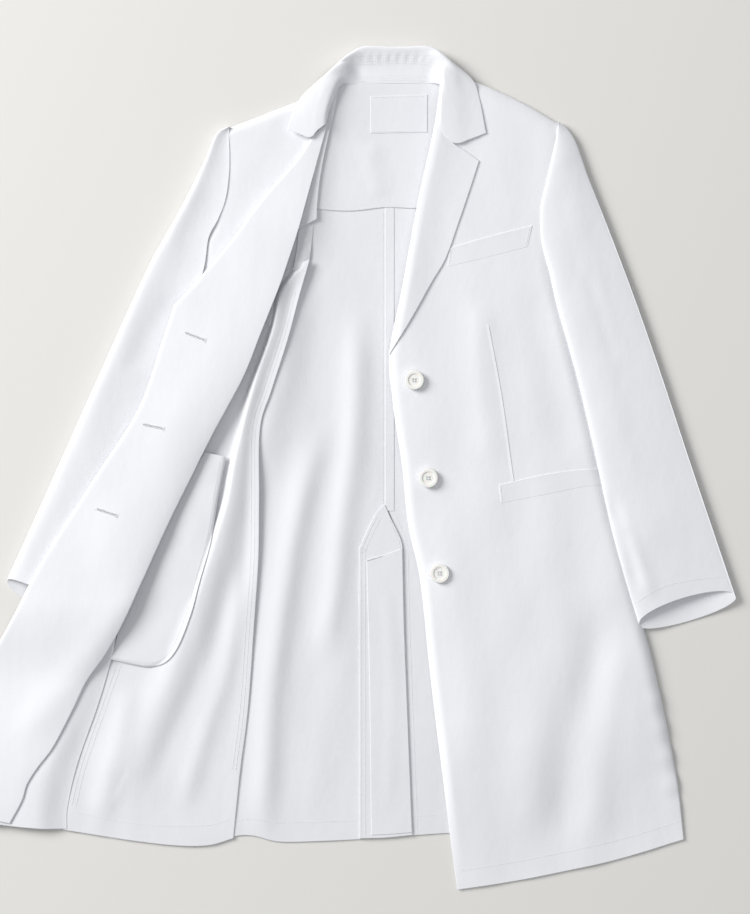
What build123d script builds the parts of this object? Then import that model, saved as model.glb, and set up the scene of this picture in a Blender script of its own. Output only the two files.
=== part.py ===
"""Lab coat laid out on its back, fronts open: every cut piece, button and thread as its own solid."""

import os
from math import cos, radians, sin

from build123d import *

# Plan frame while modelling: origin at the middle of the back neck seam, +Y towards the collar,
# +X towards the wearer's left side, floor at Z = 0. Millimetres.

# Overall sizes
CLOTH = 1.6  # thickness of an outer cloth layer
LINING_CLOTH = 0.8  # thickness of a facing or an inner layer
INTERLINING = 0.4
UPPER_COLLAR_CLOTH = 1.0
PEAK_CLOTH = 1.4  # the pressed corner of the left lapel
LABEL_TAPE = 0.5
LAYER_GAP = 0.3  # air between two layers
SEAM_GAP = 0.8  # air between the fronts and the collar
LAPEL_GAP = 0.4  # air under the turned-back left lapel
BACK_LENGTH = 871  # back neck seam to back hem
BACK_HEM_Y = -BACK_LENGTH

# Heights above the floor
FRONT_BOTTOM = 11.6  # underside of the left front and of the shoulder parts
FRONT_TOP = FRONT_BOTTOM + CLOTH
SLEEVE_BOTTOM = 0.3
SLEEVE_TOP = 12.3
SLEEVE_MIDDLE = 6.3
SIDE_PANEL_BOTTOM = 0.2  # underside of the right side panel
SHOULDER_PART_BOTTOM = 8.6  # underside of the right shoulder part
OPENED_FRONT_BOTTOM = 13.4  # underside of the turned-back right front, over the sleeve
OPENED_PANEL_RISE = CLOTH + LAYER_GAP  # its front panel lies this far above its lapel
FLOOR_DROP = 11.0  # how far the turned-back front comes down below the cuff
DROP_START_Y = -650
DROP_END_Y = -705
COLLAR_BOTTOM = FRONT_TOP + SEAM_GAP
STAND_LOW = 2.0  # underside of the collar stand at the neck seam
STAND_HIGH = 12.6  # underside of the collar stand at the roll
STAND_DEPTH = 20  # how far behind the neck seam the roll lies

# Fold lines the two fronts turn about, as two plan points each
LEFT_FOLD_TOP = (55, -55)
LEFT_FOLD_BOTTOM = (330, BACK_HEM_Y)
RIGHT_FOLD_TOP = (-74, -34)
RIGHT_FOLD_BOTTOM = (-237, -845)
FOLD_CLEARANCE = 1.0  # each piece stops this far from its fold line

# Buttons
BUTTON_RADIUS = 11.0
BUTTON_THICKNESS = 3.5
BUTTON_WELL_RADIUS = 7.4
BUTTON_WELL_DEPTH = 1.0
BUTTON_RIM_ROUNDING = 0.9
BUTTON_HOLE_RADIUS = 1.0
BUTTON_HOLE_OFFSET = 1.9
SHANK_RADIUS = 2.0
SHANK_HEIGHT = 1.8
SHANK_WINDING = 0.9  # thread wound round the shank
SHANK_CLEARANCE = 0.1
HOLE_COUNT = 4
FIRST_HOLE_ANGLE = 45
THREAD_RADIUS = 0.6
THREAD_OVERLAP = 0.4  # how far the strands run into the shank and the bars
BAR_WIDTH = 1.0
BAR_HEIGHT = 0.6
BUTTON_CENTRES = [(32, -346), (48, -458), (61, -567)]

# Buttonholes: centre and direction in plan degrees
BUTTONHOLES = [((-219, -296), -21), ((-267, -399), -12), ((-320, -497), -18)]
BUTTONHOLE_LENGTH = 24
BUTTONHOLE_WIDTH = 1.6

# Pockets
POUCH_WALL = 0.8
POUCH_DEPTH = 4.4
POCKET_SLIT = (54, 6)
POCKET_SLIT_CENTRE = (159, -458)
POCKET_SLIT_ANGLE = 8
CHEST_BAG_DROP = 1.2  # underside of the chest pocket bag, below the underside of the front
CHEST_BAG_THICKNESS = 0.9

# Lengths that only have to reach past the coat
PAST_COLLAR_Y = 100
PAST_HEM_Y = -1100
PAST_SIDES = 700
PAST_TOP = 60
CUT_OVERRUN = 1.0
CUT_HEIGHT = 12


def line_x(top, bottom, y):
    """X of the straight line through two plan points, at height y on the plan."""
    share = (y - top[1]) / (bottom[1] - top[1])
    return top[0] + share * (bottom[0] - top[0])


def left_fold_x(y):
    return line_x(LEFT_FOLD_TOP, LEFT_FOLD_BOTTOM, y)


def right_fold_x(y):
    return line_x(RIGHT_FOLD_TOP, RIGHT_FOLD_BOTTOM, y)


def face_of(points):
    return make_face(Polyline(*points, close=True))


def plate(points, bottom, thickness):
    """A flat cloth piece: a plan outline given a thickness."""
    return extrude(Pos(0, 0, bottom) * face_of(points), thickness)


def draped(points, above_front, thickness):
    """A piece of the turned-back front: flat over the sleeve, then down to the floor below the cuff."""
    high = OPENED_FRONT_BOTTOM + above_front
    low = high - FLOOR_DROP
    side_profile = [
        (PAST_COLLAR_Y, high),
        (DROP_START_Y, high),
        (DROP_END_Y, low),
        (PAST_HEM_Y, low),
        (PAST_HEM_Y, low + thickness),
        (DROP_END_Y, low + thickness),
        (DROP_START_Y, high + thickness),
        (PAST_COLLAR_Y, high + thickness),
    ]
    slab = extrude(Plane.YZ * face_of(side_profile), PAST_SIDES, both=True)
    column = extrude(face_of(points), PAST_TOP)
    return slab & column


def tray(points, hollow, bottom, thickness, wall_top, upside_down=False):
    """A shallow open shell: one flat wall, and side walls where the hollow outline leaves them."""
    block = plate(points, bottom, wall_top - bottom)
    if upside_down:
        room = plate(hollow, bottom - CUT_OVERRUN, wall_top - thickness - bottom + CUT_OVERRUN)
    else:
        room = plate(hollow, bottom + thickness, wall_top - bottom)
    return block - room


# ---------------------------------------------------------------- shared outlines

LEFT_SHOULDER = [(52, -2), (99, -2), (154, -26), (200, -46)]
LEFT_ARMHOLE = [(196, -62), (185, -125), (177, -147), (177, -189)]
LEFT_SIDE = [(288, -625), (300, -640), (323, -745), (334, -800), (342, BACK_HEM_Y)]
RIGHT_SHOULDER = [(-39, -3), (-97, -22), (-131, -37), (-182, -55)]
RIGHT_ARMHOLE = [(-180, -113), (-193, -161), (-213, -228)]

FRONT_EDGE = [(4, -322), (8, -377), (25, -512), (39, -578), (62, -781), (82, -931)]
FRONT_HEM = [(148, -921), (213, -908), (270, -895)]


# ---------------------------------------------------------------- back and neck

def back_left_panel():
    neck = [(1, -4), (30, -1)]
    vent_edge = [(30, BACK_HEM_Y), (21, -621), (14, -520), (1, -491)]
    return plate(neck + LEFT_SHOULDER + LEFT_ARMHOLE + LEFT_SIDE + vent_edge, 0, CLOTH)


def back_right_panel():
    fold_side = [
        (right_fold_x(-298) + FOLD_CLEARANCE, -298),
        (right_fold_x(BACK_HEM_Y) + FOLD_CLEARANCE, BACK_HEM_Y),
    ]
    vent_edge = [(-31, BACK_HEM_Y), (-31, -547), (-18, -520), (-1, -491), (-1, -4)]
    return plate(RIGHT_SHOULDER + RIGHT_ARMHOLE + fold_side + vent_edge, 0, CLOTH)


def back_yoke_facing():
    outline = [
        (-40, -8), (50, -8), (110, -12), (150, -30), (150, -130),
        (80, -147), (-80, -147), (-150, -130), (-150, -50), (-97, -28),
    ]
    return plate(outline, CLOTH + LAYER_GAP, LINING_CLOTH)


def neck_label():
    outline = [(-18, -20), (47, -18), (47, -61), (-18, -62)]
    return plate(outline, CLOTH + 2 * LAYER_GAP + LINING_CLOTH, LABEL_TAPE)


def vent_underlap():
    outline = [(-31, -547), (-9, -512), (12, -530), (20, -552), (28, BACK_HEM_Y), (-31, BACK_HEM_Y)]
    return plate(outline, CLOTH + LAYER_GAP, LINING_CLOTH)


# ---------------------------------------------------------------- collar

def collar_outline(inset):
    """The collar as it lies: a wing on each side and the roll across the back neck."""
    return [
        (-46 + inset, 20),
        (-28 + inset, 36 - inset),
        (60 - inset, 36 - inset),
        (99 - inset, -2),
        (107 - inset, -25),
        (114 - inset, -63 + inset),
        (79, -75 + inset),
        (56 + inset, -54),
        (62 + inset, 0),
        (56, 22 + inset),
        (-26, 22 + inset),
        (-50 - inset, 8),
        (-69 - inset, -52),
        (-87, -66 + inset),
        (-113 + inset, -59 + inset),
        (-97 + inset, -22),
    ]


def under_collar():
    return plate(collar_outline(1.0), COLLAR_BOTTOM, LINING_CLOTH)


def collar_interlining():
    return plate(collar_outline(2.0), COLLAR_BOTTOM + LINING_CLOTH + LAYER_GAP / 2, INTERLINING)


def upper_collar():
    bottom = COLLAR_BOTTOM + LINING_CLOTH + LAYER_GAP + INTERLINING
    return plate(collar_outline(0.0), bottom, UPPER_COLLAR_CLOTH)


def collar_stand():
    """The upright part inside the back neck, rising from the seam to the roll."""
    rise = [
        (-3, STAND_LOW),
        (STAND_DEPTH, STAND_HIGH),
        (STAND_DEPTH, STAND_HIGH + UPPER_COLLAR_CLOTH),
        (-3, STAND_LOW + UPPER_COLLAR_CLOTH),
    ]
    slope = extrude(Plane.YZ * face_of(rise), PAST_SIDES, both=True)
    outline = [(-39, -3), (53, -3), (53, STAND_DEPTH), (-39, STAND_DEPTH)]
    return slope & extrude(face_of(outline), PAST_TOP)


# ---------------------------------------------------------------- left front

def left_front_panel():
    neck_side = [(54, -62), (37, -138), (20, -230)]
    fold_side = [
        (left_fold_x(-885) - FOLD_CLEARANCE - 6, -885),
        (left_fold_x(-62) - FOLD_CLEARANCE, -62),
    ]
    panel = plate(neck_side + FRONT_EDGE + FRONT_HEM + fold_side, FRONT_BOTTOM, CLOTH)
    slit_place = Pos(*POCKET_SLIT_CENTRE, FRONT_BOTTOM) * Rotation(0, 0, POCKET_SLIT_ANGLE)
    slit = slit_place * Box(*POCKET_SLIT, CUT_HEIGHT)
    return panel - slit


def left_front_interlining():
    top = [(53, -70), (38, -138), (22, -230)]
    inner = [(150, -915), (140, -781), (112, -578), (80, -340), (58, -75)]
    outline = top + [(x + 2, y) for x, y in FRONT_EDGE[:-1]] + [(84, -926)] + inner
    return plate(outline, FRONT_BOTTOM - LAYER_GAP / 2 - INTERLINING, INTERLINING)


def left_front_facing():
    top = [(53, -70), (38, -138), (22, -230)]
    inner = [(150, -915), (140, -781), (112, -578), (80, -340), (58, -75)]
    outline = top + [(x + 1, y) for x, y in FRONT_EDGE[:-1]] + [(83, -928)] + inner
    bottom = FRONT_BOTTOM - LAYER_GAP - INTERLINING - LINING_CLOTH
    return plate(outline, bottom, LINING_CLOTH)


def left_lapel():
    outer = [(left_fold_x(-130) - FOLD_CLEARANCE, -130), (82, -167), (68, -206), (51, -235)]
    roll = [(6, -316), (20, -236), (37, -144), (54, -64)]
    return plate(outer + roll, FRONT_TOP + LAPEL_GAP, CLOTH)


def left_lapel_peak():
    """The corner of the lapel that lies beyond the fold line."""
    outline = [
        (left_fold_x(-66) + FOLD_CLEARANCE, -66),
        (79, -78),
        (106, -95),
        (95, -129),
        (left_fold_x(-129) + FOLD_CLEARANCE, -129),
    ]
    return plate(outline, FRONT_TOP + LAPEL_GAP, PEAK_CLOTH)


def left_front_side_part():
    shoulder = [(70, -4), (99, -4), (154, -28), (200, -48)]
    fold_side = [
        (left_fold_x(-868) + FOLD_CLEARANCE, -868),
        (left_fold_x(-60) + FOLD_CLEARANCE, -60),
        (64, -30),
    ]
    side = [(x, y) for x, y in LEFT_SIDE[:-1]] + [(342, -868)]
    return plate(shoulder + LEFT_ARMHOLE + side + fold_side, FRONT_BOTTOM, CLOTH)


def chest_welt():
    return plate([(102, -187), (167, -169), (162, -193), (109, -207)], FRONT_TOP, CLOTH)


def chest_welt_front_end():
    return plate([(74, -195), (96, -189), (102, -208), (72, -216)], FRONT_TOP, CLOTH)


def chest_pocket_bag():
    outline = [(112, -190), (163, -176), (172, -290), (152, -292)]
    return plate(outline, FRONT_BOTTOM - CHEST_BAG_DROP, CHEST_BAG_THICKNESS)


def left_pocket_welt():
    return plate([(129, -466), (189, -457), (189, -475), (131, -486)], FRONT_TOP, CLOTH)


def left_pocket_welt_side_end():
    return plate([(204, -455), (238, -450), (238, -468), (204, -473)], FRONT_TOP, CLOTH)


def left_pocket_bag():
    """A pouch under the front, open upwards at the slit over the welt."""
    floor_z = FRONT_BOTTOM - POUCH_DEPTH - POUCH_WALL
    outer = [(126, -448), (184, -440), (236, -640), (152, -650)]
    hollow = [(129, -452), (181, -444), (231, -636), (155, -646)]
    return tray(outer, hollow, floor_z, POUCH_WALL, FRONT_BOTTOM)


# ---------------------------------------------------------------- right front, turned back

OPENED_EDGE = [
    (-87, -71), (-102, -92), (-131, -125), (-156, -156), (-177, -185), (-215, -230), (-245, -263),
    (-255, -296), (-284, -379), (-340, -467), (-397, -558), (-444, -646), (-545, -803),
]
OPENED_HEM = [(-440, -862), (-367, -862)]
SIDE_SEAM = [(-367, -837), (-313, -667)]


def cut_buttonholes(solid):
    for (x, y), angle in BUTTONHOLES:
        cut = Rotation(0, 0, angle) * Box(BUTTONHOLE_LENGTH, BUTTONHOLE_WIDTH, PAST_TOP)
        solid = solid - Pos(x, y, 0) * cut
    return solid


def right_front_panel():
    inner = SIDE_SEAM + [
        (right_fold_x(-560) - FOLD_CLEARANCE, -560),
        (right_fold_x(-80) - FOLD_CLEARANCE, -80),
    ]
    return cut_buttonholes(draped(OPENED_EDGE + OPENED_HEM + inner, OPENED_PANEL_RISE, CLOTH))


FACING_INNER = [
    (-432, -850), (-405, -796), (-365, -731), (-301, -623), (-250, -511), (-198, -406),
    (-144, -293), (-115, -217), (-100, -150), (-92, -100),
]


def right_front_interlining():
    edge = [(x + 2, y - 1) for x, y in OPENED_EDGE]
    outline = edge + [(x - 3, y) for x, y in FACING_INNER]
    return cut_buttonholes(draped(outline, OPENED_PANEL_RISE + CLOTH + LAYER_GAP / 2, INTERLINING))


def right_front_facing():
    bottom = OPENED_PANEL_RISE + CLOTH + LAYER_GAP + INTERLINING
    return cut_buttonholes(draped(OPENED_EDGE + FACING_INNER, bottom, LINING_CLOTH))


def right_lapel():
    """Rolled under the turned-back front, from the roll edge inwards."""
    outline = [
        (-93, -80), (-102, -93), (-131, -126), (-177, -186), (-215, -231), (-244, -263),
        (-190, -238), (-140, -190), (-104, -140), (-93, -100),
    ]
    return draped(outline, 0.0, CLOTH)


def right_pocket_welt():
    return draped([(-291, -432), (-189, -478), (-197, -496), (-299, -450)], 0.0, CLOTH)


RIGHT_BAG = [(-184, -436), (-195, -501), (-236, -646), (-248, -646), (-248, -520), (-196, -432)]
RIGHT_BAG_HOLLOW = [(-187, -425), (-198, -501), (-238.5, -643), (-245, -643), (-245, -500), (-230, -400)]
RIGHT_BAG_BOTTOM = OPENED_FRONT_BOTTOM + OPENED_PANEL_RISE + CLOTH
RIGHT_BAG_WALL_TOP = RIGHT_BAG_BOTTOM + POUCH_WALL + POUCH_DEPTH


def right_pocket_bag():
    """The half of the right pocket bag that lies on the front; its mouth is the slanted edge at the welt."""
    return tray(RIGHT_BAG, RIGHT_BAG_HOLLOW, RIGHT_BAG_BOTTOM, POUCH_WALL, RIGHT_BAG_WALL_TOP)


def right_pocket_bag_cover():
    """The other half of the bag, over the pocket's room."""
    return plate(RIGHT_BAG, RIGHT_BAG_WALL_TOP, POUCH_WALL)


def right_side_panel():
    """From the fold line out to the side seam, lying on the floor inside up."""
    outline = [
        (right_fold_x(-310) - FOLD_CLEARANCE, -310),
        (right_fold_x(-875) - FOLD_CLEARANCE, -875),
        (-296, -876),
        (-368, -860),
        (-366, -838),
        (-330, -718),
        (-312, -667),
        (-308, -636),
        (-222, -262),
    ]
    return plate(outline, SIDE_PANEL_BOTTOM, CLOTH)


def right_front_shoulder_part():
    """The upper chest, which stays in place over the back while the front is open."""
    fold_side = [
        (right_fold_x(-292) - FOLD_CLEARANCE, -292),
        (right_fold_x(-40) - FOLD_CLEARANCE, -40),
    ]
    shoulder = [(-97, -24), (-131, -39), (-182, -57)]
    armhole_end = [(-213, -228), (-200, -246)]
    return plate(shoulder + RIGHT_ARMHOLE[:-1] + armhole_end + fold_side, SHOULDER_PART_BOTTOM, CLOTH)


# ---------------------------------------------------------------- sleeves

LEFT_SLEEVE = [
    (198, -61), (208, -57), (217, -72), (256, -174), (316, -340), (400, -592),
    (291, -627), (179, -189), (179, -147), (187, -125),
]
LEFT_SLEEVE_HOLLOW = [
    (204, -40), (213, -66), (253, -174), (313, -340), (412, -640),
    (300, -680), (182, -189), (182, -147), (176, -125),
]
RIGHT_SLEEVE = [
    (-184, -57), (-194, -59), (-206, -95), (-248, -183), (-271, -222), (-434, -574),
    (-324, -629), (-217, -229), (-197, -163), (-183, -113),
]
RIGHT_SLEEVE_HOLLOW = [
    (-180, -40), (-190, -60), (-203, -96), (-245, -184), (-268, -222), (-445, -604),
    (-330, -664), (-220, -228), (-200, -162), (-172, -113),
]
SLEEVE_WALL = 1.2


def top_sleeve(outline, hollow):
    return tray(outline, hollow, SLEEVE_MIDDLE, SLEEVE_WALL, SLEEVE_TOP, upside_down=True)


def under_sleeve(outline, hollow):
    return tray(outline, hollow, SLEEVE_BOTTOM, SLEEVE_WALL, SLEEVE_MIDDLE - LAYER_GAP)


# ---------------------------------------------------------------- buttons

BUTTON_BOTTOM = FRONT_TOP + SHANK_HEIGHT
WELL_FLOOR = BUTTON_BOTTOM + BUTTON_THICKNESS - BUTTON_WELL_DEPTH


def hole_places(centre):
    """Plan points of the sewing holes."""
    x, y = centre
    places = []
    for turn in range(HOLE_COUNT):
        angle = radians(FIRST_HOLE_ANGLE + 360 * turn / HOLE_COUNT)
        places.append((x + BUTTON_HOLE_OFFSET * cos(angle), y + BUTTON_HOLE_OFFSET * sin(angle)))
    return places


def button(centre):
    disc = Pos(*centre, BUTTON_BOTTOM + BUTTON_THICKNESS / 2) * Cylinder(BUTTON_RADIUS, BUTTON_THICKNESS)
    disc = fillet(disc.edges().group_by(Axis.Z)[-1], BUTTON_RIM_ROUNDING)
    well_middle = WELL_FLOOR + BUTTON_WELL_DEPTH / 2
    disc = disc - Pos(*centre, well_middle) * Cylinder(BUTTON_WELL_RADIUS, BUTTON_WELL_DEPTH)
    for place in hole_places(centre):
        disc = disc - Pos(*place, BUTTON_BOTTOM) * Cylinder(BUTTON_HOLE_RADIUS, CUT_HEIGHT)
    return disc


def button_thread(centre):
    """The wound shank, a strand up through each hole and two bars across the well."""
    x, y = centre
    shank_low = FRONT_TOP + LAYER_GAP
    shank_high = BUTTON_BOTTOM - SHANK_CLEARANCE
    shank_middle = (shank_low + shank_high) / 2
    thread = Pos(x, y, shank_middle) * Cylinder(SHANK_RADIUS + SHANK_WINDING, shank_high - shank_low)
    bar_z = WELL_FLOOR + THREAD_OVERLAP
    height = bar_z - shank_high + THREAD_OVERLAP
    strand_middle = shank_high - THREAD_OVERLAP + height / 2
    for place in hole_places(centre):
        thread = thread + Pos(*place, strand_middle) * Cylinder(THREAD_RADIUS, height)
    half = BUTTON_HOLE_OFFSET * sin(radians(FIRST_HOLE_ANGLE))
    bar = Box(2 * half + 2 * THREAD_RADIUS, BAR_WIDTH, BAR_HEIGHT)
    for side in (-1, 1):
        thread = thread + Pos(x, y + side * half, bar_z) * bar
    return thread


# ---------------------------------------------------------------- all nodes

pieces = {
    "back_left_panel": back_left_panel(),
    "back_right_panel": back_right_panel(),
    "back_yoke_facing": back_yoke_facing(),
    "neck_label": neck_label(),
    "vent_underlap": vent_underlap(),
    "under_collar": under_collar(),
    "collar_interlining": collar_interlining(),
    "upper_collar": upper_collar(),
    "collar_stand": collar_stand(),
    "left_front_panel": left_front_panel(),
    "left_front_interlining": left_front_interlining(),
    "left_front_facing": left_front_facing(),
    "left_lapel": left_lapel(),
    "left_lapel_peak": left_lapel_peak(),
    "left_front_side_part": left_front_side_part(),
    "chest_welt": chest_welt(),
    "chest_welt_front_end": chest_welt_front_end(),
    "chest_pocket_bag": chest_pocket_bag(),
    "left_pocket_welt": left_pocket_welt(),
    "left_pocket_welt_side_end": left_pocket_welt_side_end(),
    "left_pocket_bag": left_pocket_bag(),
    "right_front_panel": right_front_panel(),
    "right_front_interlining": right_front_interlining(),
    "right_front_facing": right_front_facing(),
    "right_lapel": right_lapel(),
    "right_pocket_welt": right_pocket_welt(),
    "right_pocket_bag": right_pocket_bag(),
    "right_pocket_bag_cover": right_pocket_bag_cover(),
    "right_side_panel": right_side_panel(),
    "right_front_shoulder_part": right_front_shoulder_part(),
    "left_top_sleeve": top_sleeve(LEFT_SLEEVE, LEFT_SLEEVE_HOLLOW),
    "left_under_sleeve": under_sleeve(LEFT_SLEEVE, LEFT_SLEEVE_HOLLOW),
    "right_top_sleeve": top_sleeve(RIGHT_SLEEVE, RIGHT_SLEEVE_HOLLOW),
    "right_under_sleeve": under_sleeve(RIGHT_SLEEVE, RIGHT_SLEEVE_HOLLOW),
}
for number, centre in enumerate(BUTTON_CENTRES, start=1):
    pieces[f"button_{number}"] = button(centre)
    pieces[f"button_{number}_thread"] = button_thread(centre)

# The finished origin is under the middle of the whole coat, on the floor.
boxes = [solid.bounding_box() for solid in pieces.values()]
middle_x = (min(b.min.X for b in boxes) + max(b.max.X for b in boxes)) / 2
middle_y = (min(b.min.Y for b in boxes) + max(b.max.Y for b in boxes)) / 2
floor_z = min(b.min.Z for b in boxes)

os.makedirs("parts", exist_ok=True)
for name, solid in pieces.items():
    export_step(Pos(-middle_x, -middle_y, -floor_z) * solid, f"parts/{name}.step")
print("shift", round(-middle_x, 3), round(-middle_y, 3), round(-floor_z, 3))
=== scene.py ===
"""A white lab coat laid on its back with its right front turned back, as sewn cloth pieces."""

from math import cos, pi, radians, sin

import bpy
import numpy as np
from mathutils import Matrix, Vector
from mathutils.bvhtree import BVHTree


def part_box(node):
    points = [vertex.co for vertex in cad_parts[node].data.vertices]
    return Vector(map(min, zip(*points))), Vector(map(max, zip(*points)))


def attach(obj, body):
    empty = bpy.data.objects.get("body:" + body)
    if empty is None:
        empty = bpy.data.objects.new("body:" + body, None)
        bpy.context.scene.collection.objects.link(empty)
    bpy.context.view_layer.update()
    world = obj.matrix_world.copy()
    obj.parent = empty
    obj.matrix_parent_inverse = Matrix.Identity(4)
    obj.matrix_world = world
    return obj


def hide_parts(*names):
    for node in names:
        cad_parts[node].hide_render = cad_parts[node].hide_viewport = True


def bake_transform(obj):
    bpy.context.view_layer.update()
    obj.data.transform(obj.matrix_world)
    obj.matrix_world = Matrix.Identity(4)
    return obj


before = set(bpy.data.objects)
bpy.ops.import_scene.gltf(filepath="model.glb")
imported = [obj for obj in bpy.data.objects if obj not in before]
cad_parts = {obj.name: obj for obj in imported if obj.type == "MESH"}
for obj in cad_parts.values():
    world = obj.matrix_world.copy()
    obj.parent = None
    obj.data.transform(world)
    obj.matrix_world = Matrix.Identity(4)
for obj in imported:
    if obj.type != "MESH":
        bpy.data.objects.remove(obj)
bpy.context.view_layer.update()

# Plan coordinates: millimetres from the middle of the back neck seam, +Y to the collar.
FIRST_BUTTON = (32, -346)
BUTTON_COUNT = 3
button_low, button_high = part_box("button_1")
PLAN_X = (button_low[0] + button_high[0]) / 2 - FIRST_BUTTON[0] / 1000
PLAN_Y = (button_low[1] + button_high[1]) / 2 - FIRST_BUTTON[1] / 1000

ROOT = "back_and_collar"
CLOTH = 0.9  # thickness of a cloth layer
EDGE_RINGS = (0.0, 0.5, 1.3, 2.6)  # fine rows next to an edge, so that it stays crisp
CLOSEST_ROWS = 0.35  # rows nearer than this to each other become one


def to_row(points):
    """Plan millimetres to row metres."""
    return np.asarray(points, float) / 1000 + np.array([PLAN_X, PLAN_Y, 0])


# ---- curves and grids

def resample(line, places):
    """Points at the given shares of a line's length."""
    steps = np.linalg.norm(np.diff(line, axis=0), axis=1)
    travelled = np.concatenate([[0], np.cumsum(steps)])
    wanted = places * travelled[-1]
    return np.stack([np.interp(wanted, travelled, column) for column in line.T], axis=1)


def smooth(points, steps=24):
    """A dense smooth curve through the points."""
    pts = np.array(points, float)
    if len(pts) < 3:
        return pts
    padded = np.vstack([2 * pts[0] - pts[1], pts, 2 * pts[-1] - pts[-2]])
    t = np.linspace(0, 1, steps, endpoint=False)[:, None]
    runs = []
    for i in range(len(pts) - 1):
        a, b, c, d = padded[i : i + 4]
        curve = 2 * b + (c - a) * t + (2 * a - 5 * b + 4 * c - d) * t**2
        runs.append(0.5 * (curve + (3 * b - a - 3 * c + d) * t**3))
    return np.vstack(runs + [pts[-1:]])


def dense(line, steps=24):
    """A line as dense points: a list of corners is smoothed, an array is taken as it is."""
    return line if isinstance(line, np.ndarray) else smooth(line, steps)


def joined(*runs):
    """Smooth runs that meet at corners."""
    curves = [smooth(run) for run in runs]
    return np.vstack([curves[0]] + [curve[1:] for curve in curves[1:]])


def unit(vectors):
    """The vectors, each made 1 long."""
    return vectors / np.maximum(np.linalg.norm(vectors, axis=-1, keepdims=True), 1e-9)


def length_of(line):
    return float(np.linalg.norm(np.diff(line, axis=0), axis=1).sum())


def shares(length, step, rings=EDGE_RINGS):
    """Rising shares of a length: even steps, with fine rows at both ends."""
    count = max(2, int(round(length / step)))
    marks = set(np.linspace(0, length, count + 1))
    for ring in rings:
        marks |= {ring, length - ring}
    ordered = [0.0]
    for mark in sorted(m for m in marks if 0 < m < length):
        if mark - ordered[-1] > CLOSEST_ROWS:
            ordered.append(mark)
    if length - ordered[-1] < CLOSEST_ROWS:
        ordered.pop()
    return np.array(ordered + [length]) / length


def patch(bottom, top, left, right, width, length):
    """Plan grid between four curves that share corners; width and length are a size and a row spacing."""
    across, up = shares(*width), shares(*length)
    low, high = resample(dense(bottom), across), resample(dense(top), across)
    near, far = resample(dense(left), up), resample(dense(right), up)
    u, v = across[None, :, None], up[:, None, None]
    corners = (1 - u) * (1 - v) * low[0] + u * (1 - v) * low[-1] + (1 - u) * v * high[0] + u * v * high[-1]
    return (1 - v) * low[None] + v * high[None] + (1 - u) * near[:, None] + u * far[:, None] - corners


def band(near, far, across, up):
    """Plan grid between two lines."""
    first, last = resample(near, up)[:, None], resample(far, up)[:, None]
    share = across[None, :, None]
    return first * (1 - share) + last * share


def to_line(plan, line):
    """Distance to a line, the side it is on (+1 left of its direction), and the share along it."""
    line = dense(line, 10)
    flat = plan.reshape(-1, 2)
    starts, runs = line[:-1], np.diff(line, axis=0)
    lengths = np.maximum(np.linalg.norm(runs, axis=1), 1e-9)
    travelled = np.concatenate([[0], np.cumsum(lengths)])
    best = np.full(len(flat), 1e9)
    side = np.ones(len(flat))
    along = np.zeros(len(flat))
    for start, run, size, before in zip(starts, runs, lengths, travelled):
        offset = flat - start
        t = np.clip(offset @ run / size**2, 0, 1)
        gap = offset - t[:, None] * run
        distance = np.hypot(gap[:, 0], gap[:, 1])
        closer = distance < best
        best = np.where(closer, distance, best)
        cross = run[0] * offset[:, 1] - run[1] * offset[:, 0]
        side = np.where(closer, np.sign(cross), side)
        along = np.where(closer, (before + t * size) / travelled[-1], along)
    shape = plan.shape[:-1]
    return best.reshape(shape), side.reshape(shape), along.reshape(shape)


def below(plan, depth, length):
    """0 above a depth down the coat, rising to 1 over the length below it."""
    return ease((-plan[..., 1] - depth) / length)


def ease(x):
    """0 below 0, 1 above 1, and smooth between."""
    x = np.clip(x, 0, 1)
    return x * x * (3 - 2 * x)


def ridge(plan, points, height, left_width, right_width=None, ends=0.2):
    """A soft fold along a line; its flanks may differ in width, and it fades out at its ends."""
    distance, side, along = to_line(plan, points)
    width = np.where(side > 0, left_width, right_width or left_width)
    fade = ease(along / ends) * ease((1 - along) / ends)
    return height * fade * np.exp(-((distance / width) ** 2))


def folded(height, plan, folds):
    """The height with soft folds added; each row holds what ridge asks for after the plan."""
    for fold in folds:
        height = height + ridge(plan, *fold)
    return height


def ripple(plan, size, seed, stretch=(1.0, 1.0), turn=0.0):
    """Gentle unevenness between about -1 and 1, the same on every run."""
    random = np.random.default_rng(seed)
    x = plan[..., 0] * cos(turn) + plan[..., 1] * sin(turn)
    y = plan[..., 1] * cos(turn) - plan[..., 0] * sin(turn)
    total = np.zeros(plan.shape[:-1])
    for _ in range(9):
        angle = random.uniform(0, 2 * pi)
        wave = 2 * pi / (size * random.uniform(0.6, 1.6))
        phase = random.uniform(0, 2 * pi)
        total += np.sin(wave * (cos(angle) * x / stretch[0] + sin(angle) * y / stretch[1]) + phase)
    return total / 4.5


def rounded(distance, radius):
    """How far a cloth has come up at a distance from a rolled edge: 0 at the edge, 1 past the radius."""
    t = np.clip(distance / radius, 0, 1)
    return np.sqrt(1 - (1 - t) ** 2)


# ---- materials

def set_sockets(node, **values):
    """Sets a node's sockets by name, with _ for a space."""
    for name, value in values.items():
        node.inputs[name.replace("_", " ")].default_value = value
    return node


def principled(name, colour, roughness, **values):
    """A material with its node tree and its shader."""
    material = bpy.data.materials.new(name)
    material.use_nodes = True
    tree = material.node_tree
    shader = tree.nodes["Principled BSDF"]
    set_sockets(shader, Base_Color=(*colour, 1), Roughness=roughness, **values)
    return material, tree, shader


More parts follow.
